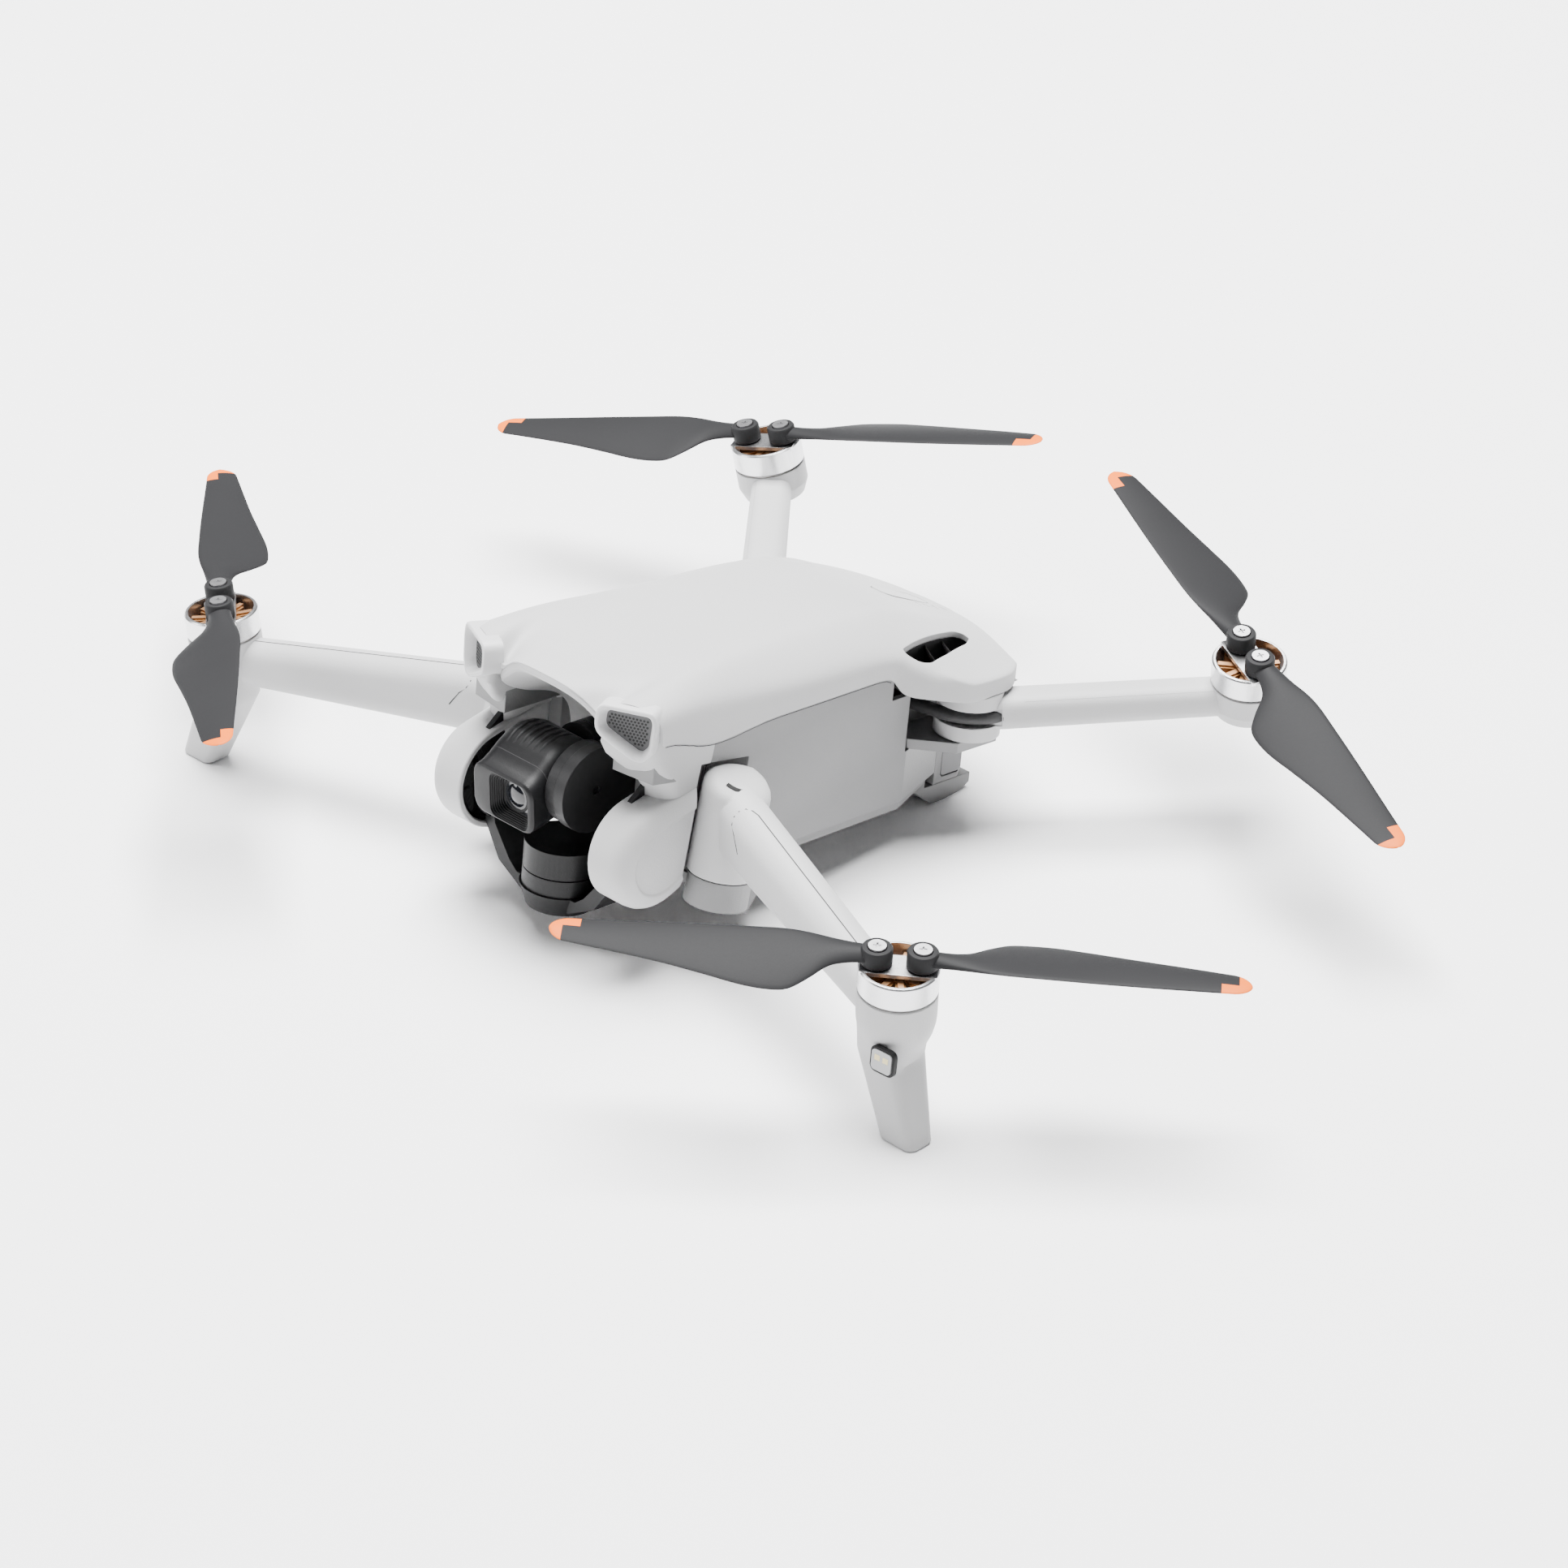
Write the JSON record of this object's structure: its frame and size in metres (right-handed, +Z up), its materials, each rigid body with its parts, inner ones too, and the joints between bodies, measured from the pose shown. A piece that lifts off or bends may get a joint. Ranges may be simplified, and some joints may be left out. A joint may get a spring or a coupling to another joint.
{
  "type": "folding camera quadcopter",
  "caption": "Folding quadcopter with hinged arms, folding two-blade propellers, a three-axis gimbal camera, front legs and a slide-in battery.",
  "frame": {"origin": "centre of the unfolded craft's outline on the ground it stands on", "axes": "+X to the craft's left, -Y the way it flies, +Z up from the ground"},
  "size_m": [0.3462, 0.2349, 0.0695],
  "materials": {
    "shell_plastic": "fine-grained light grey moulded plastic",
    "frame_plastic": "fine-grained grey moulded plastic",
    "dark_plastic": "black glass-filled plastic",
    "gimbal_black": "satin black coated magnesium",
    "blade_plastic": "dark grey plastic with orange tips",
    "bell_metal": "satin turned aluminium with bright edges",
    "winding": "laminated steel teeth with copper windings",
    "screw_steel": "bright zinc",
    "lens": "coated optical glass",
    "light_lens": "clear moulded lens over two yellow emitters",
    "led": "unlit indicator window",
    "board": "green solder mask",
    "battery_case": "dark grey battery case",
    "latch_plastic": "textured grey latch",
    "damper_rubber": "soft black silicone",
    "cable_braid": "black braided sleeve"
  },
  "bodies": {
    "fuselage": {"upper_shell": "shell_plastic", "middle_frame": "frame_plastic", "belly_cover": "frame_plastic", "cheek_left": "shell_plastic", "cheek_right": "shell_plastic", "eye_bezels": "shell_plastic", "sensor_grilles": "dark_plastic", "vent_louvres": "dark_plastic", "status_leds": "led", "main_board": "board", "hinge_pins": "screw_steel", "body_screws": "screw_steel", "belly_sensor_lenses": "lens", "damper_covers": "dark_plastic", "gimbal_dampers": "damper_rubber", "gimbal_bracket": "gimbal_black", "yaw_motor": "gimbal_black", "arm_cable_left": "cable_braid", "arm_cable_right": "cable_braid"},
    "power_button": {"power_button": "shell_plastic"},
    "battery": {"battery_pack": "battery_case", "battery_cap": "frame_plastic"},
    "battery_latch_left": {"battery_latch_left": "latch_plastic"},
    "battery_latch_right": {"battery_latch_right": "latch_plastic"},
    "gimbal_yaw": {"yaw_arm": "gimbal_black"},
    "gimbal_roll": {"roll_arm": "gimbal_black"},
    "gimbal_tilt": {"tilt_motor": "gimbal_black", "camera_body": "gimbal_black", "camera_hood": "gimbal_black", "lens_barrel": "dark_plastic", "lens_glass": "lens"},
    "front_arm_left": {"front_arm_left": "shell_plastic", "motor_stator_front_left": "winding", "leg_light_left": "light_lens"},
    "rotor_front_left": {"motor_bell_front_left": "bell_metal", "hub_screws_front_left": "screw_steel"},
    "blade_front_a_left": {"blade_front_a_left": "blade_plastic"},
    "blade_front_b_left": {"blade_front_b_left": "blade_plastic"},
    "rear_arm_left": {"rear_arm_left": "shell_plastic", "motor_stator_rear_left": "winding"},
    "rotor_rear_left": {"motor_bell_rear_left": "bell_metal", "hub_screws_rear_left": "screw_steel"},
    "blade_rear_a_left": {"blade_rear_a_left": "blade_plastic"},
    "blade_rear_b_left": {"blade_rear_b_left": "blade_plastic"},
    "front_arm_right": {"front_arm_right": "shell_plastic", "motor_stator_front_right": "winding", "leg_light_right": "light_lens"},
    "rotor_front_right": {"motor_bell_front_right": "bell_metal", "hub_screws_front_right": "screw_steel"},
    "blade_front_a_right": {"blade_front_a_right": "blade_plastic"},
    "blade_front_b_right": {"blade_front_b_right": "blade_plastic"},
    "rear_arm_right": {"rear_arm_right": "shell_plastic", "motor_stator_rear_right": "winding"},
    "rotor_rear_right": {"motor_bell_rear_right": "bell_metal", "hub_screws_rear_right": "screw_steel"},
    "blade_rear_a_right": {"blade_rear_a_right": "blade_plastic"},
    "blade_rear_b_right": {"blade_rear_b_right": "blade_plastic"}
  },
  "joints": [
    {"name": "power_button_press", "type": "slide", "parent": "fuselage", "child": "power_button", "axis": [0, -0.4878, -0.873], "range_m": [0, 0.0005], "stiffness_N_per_m": 900},
    {"name": "battery_slide", "type": "slide", "parent": "fuselage", "child": "battery", "axis": [0, 0.9925, -0.1219], "range_m": [0, 0.075]},
    {"name": "battery_latch_left_press", "type": "slide", "parent": "battery", "child": "battery_latch_left", "axis": [-1, 0, 0], "range_m": [0, 0.0012], "stiffness_N_per_m": 1200},
    {"name": "battery_latch_right_press", "type": "slide", "parent": "battery", "child": "battery_latch_right", "axis": [1, 0, 0], "range_m": [0, 0.0012], "stiffness_N_per_m": 1200},
    {"name": "gimbal_yaw_turn", "type": "hinge", "parent": "fuselage", "child": "gimbal_yaw", "pos_m": [0, -0.06056, 0.0155], "axis": [0, 0.1219, 0.9925], "range_deg": [-25, 25]},
    {"name": "gimbal_roll_turn", "type": "hinge", "parent": "gimbal_yaw", "child": "gimbal_roll", "pos_m": [-0.004, -0.04759, 0.03909], "axis": [0, -0.9925, 0.1219], "range_deg": [-15, 25]},
    {"name": "gimbal_tilt_turn", "type": "hinge", "parent": "gimbal_roll", "child": "gimbal_tilt", "pos_m": [0.008, -0.06149, 0.0408], "axis": [-1, 0, 0], "range_deg": [-82, 60]},
    {"name": "front_arm_left_fold", "type": "hinge", "parent": "fuselage", "child": "front_arm_left", "pos_m": [0.036, -0.04169, 0.03383], "axis": [0, 0.2588, 0.9659], "range_deg": [0, 97]},
    {"name": "rotor_front_left_spin", "type": "hinge", "parent": "front_arm_left", "child": "rotor_front_left", "pos_m": [0.1134, -0.0668, 0.046], "axis": [0.0876, -0.0358, 0.9955], "continuous": true},
    {"name": "blade_front_a_left_fold", "type": "hinge", "parent": "rotor_front_left", "child": "blade_front_a_left", "pos_m": [0.11721, -0.06365, 0.04578], "axis": [-0.0876, 0.0358, -0.9955], "range_deg": [0, 46.4]},
    {"name": "blade_front_b_left_fold", "type": "hinge", "parent": "rotor_front_left", "child": "blade_front_b_left", "pos_m": [0.10959, -0.06995, 0.04622], "axis": [-0.0876, 0.0358, -0.9955], "range_deg": [0, 45.4]},
    {"name": "rear_arm_left_fold", "type": "hinge", "parent": "fuselage", "child": "rear_arm_left", "pos_m": [0.035, 0.03801, 0.0306], "axis": [0, -0.1219, -0.9925], "range_deg": [0, 123.9], "deforming": ["arm_cable_left"]},
    {"name": "rotor_rear_left_spin", "type": "hinge", "parent": "rear_arm_left", "child": "rotor_rear_left", "pos_m": [0.0813, 0.0851, 0.0483], "axis": [0.1261, -0.1143, 0.9854], "continuous": true},
    {"name": "blade_rear_a_left_fold", "type": "hinge", "parent": "rotor_rear_left", "child": "blade_rear_a_left", "pos_m": [0.08582, 0.08325, 0.04751], "axis": [0.1261, -0.1143, 0.9854], "range_deg": [0, 58.2]},
    {"name": "blade_rear_b_left_fold", "type": "hinge", "parent": "rotor_rear_left", "child": "blade_rear_b_left", "pos_m": [0.07678, 0.08695, 0.04909], "axis": [0.1261, -0.1143, 0.9854], "range_deg": [0, 60.2]},
    {"name": "front_arm_right_fold", "type": "hinge", "parent": "fuselage", "child": "front_arm_right", "pos_m": [-0.036, -0.04169, 0.03383], "axis": [0, -0.2588, -0.9659], "range_deg": [0, 97]},
    {"name": "rotor_front_right_spin", "type": "hinge", "parent": "front_arm_right", "child": "rotor_front_right", "pos_m": [-0.1134, -0.0668, 0.046], "axis": [-0.0876, -0.0358, 0.9955], "continuous": true},
    {"name": "blade_front_a_right_fold", "type": "hinge", "parent": "rotor_front_right", "child": "blade_front_a_right", "pos_m": [-0.11721, -0.06365, 0.04578], "axis": [-0.0876, -0.0358, 0.9955], "range_deg": [0, 46.4]},
    {"name": "blade_front_b_right_fold", "type": "hinge", "parent": "rotor_front_right", "child": "blade_front_b_right", "pos_m": [-0.10959, -0.06995, 0.04622], "axis": [-0.0876, -0.0358, 0.9955], "range_deg": [0, 45.4]},
    {"name": "rear_arm_right_fold", "type": "hinge", "parent": "fuselage", "child": "rear_arm_right", "pos_m": [-0.035, 0.03801, 0.0306], "axis": [0, 0.1219, 0.9925], "range_deg": [0, 123.9], "deforming": ["arm_cable_right"]},
    {"name": "rotor_rear_right_spin", "type": "hinge", "parent": "rear_arm_right", "child": "rotor_rear_right", "pos_m": [-0.0813, 0.0851, 0.0483], "axis": [-0.1261, -0.1143, 0.9854], "continuous": true},
    {"name": "blade_rear_a_right_fold", "type": "hinge", "parent": "rotor_rear_right", "child": "blade_rear_a_right", "pos_m": [-0.08582, 0.08325, 0.04751], "axis": [0.1261, 0.1143, -0.9854], "range_deg": [0, 58.2]},
    {"name": "blade_rear_b_right_fold", "type": "hinge", "parent": "rotor_rear_right", "child": "blade_rear_b_right", "pos_m": [-0.07678, 0.08695, 0.04909], "axis": [0.1261, 0.1143, -0.9854], "range_deg": [0, 60.2]}
  ],
  "couplings": [
    {"joint": "blade_front_a_left_fold", "follows": "front_arm_left_fold", "ratio": 0.47423},
    {"joint": "blade_front_b_left_fold", "follows": "front_arm_left_fold", "ratio": 0.46392},
    {"joint": "blade_rear_a_left_fold", "follows": "rear_arm_left_fold", "ratio": 0.46651},
    {"joint": "blade_rear_b_left_fold", "follows": "rear_arm_left_fold", "ratio": 0.48265},
    {"joint": "blade_front_a_right_fold", "follows": "front_arm_right_fold", "ratio": 0.47423},
    {"joint": "blade_front_b_right_fold", "follows": "front_arm_right_fold", "ratio": 0.46392},
    {"joint": "blade_rear_a_right_fold", "follows": "rear_arm_right_fold", "ratio": 0.46651},
    {"joint": "blade_rear_b_right_fold", "follows": "rear_arm_right_fold", "ratio": 0.48265}
  ]
}
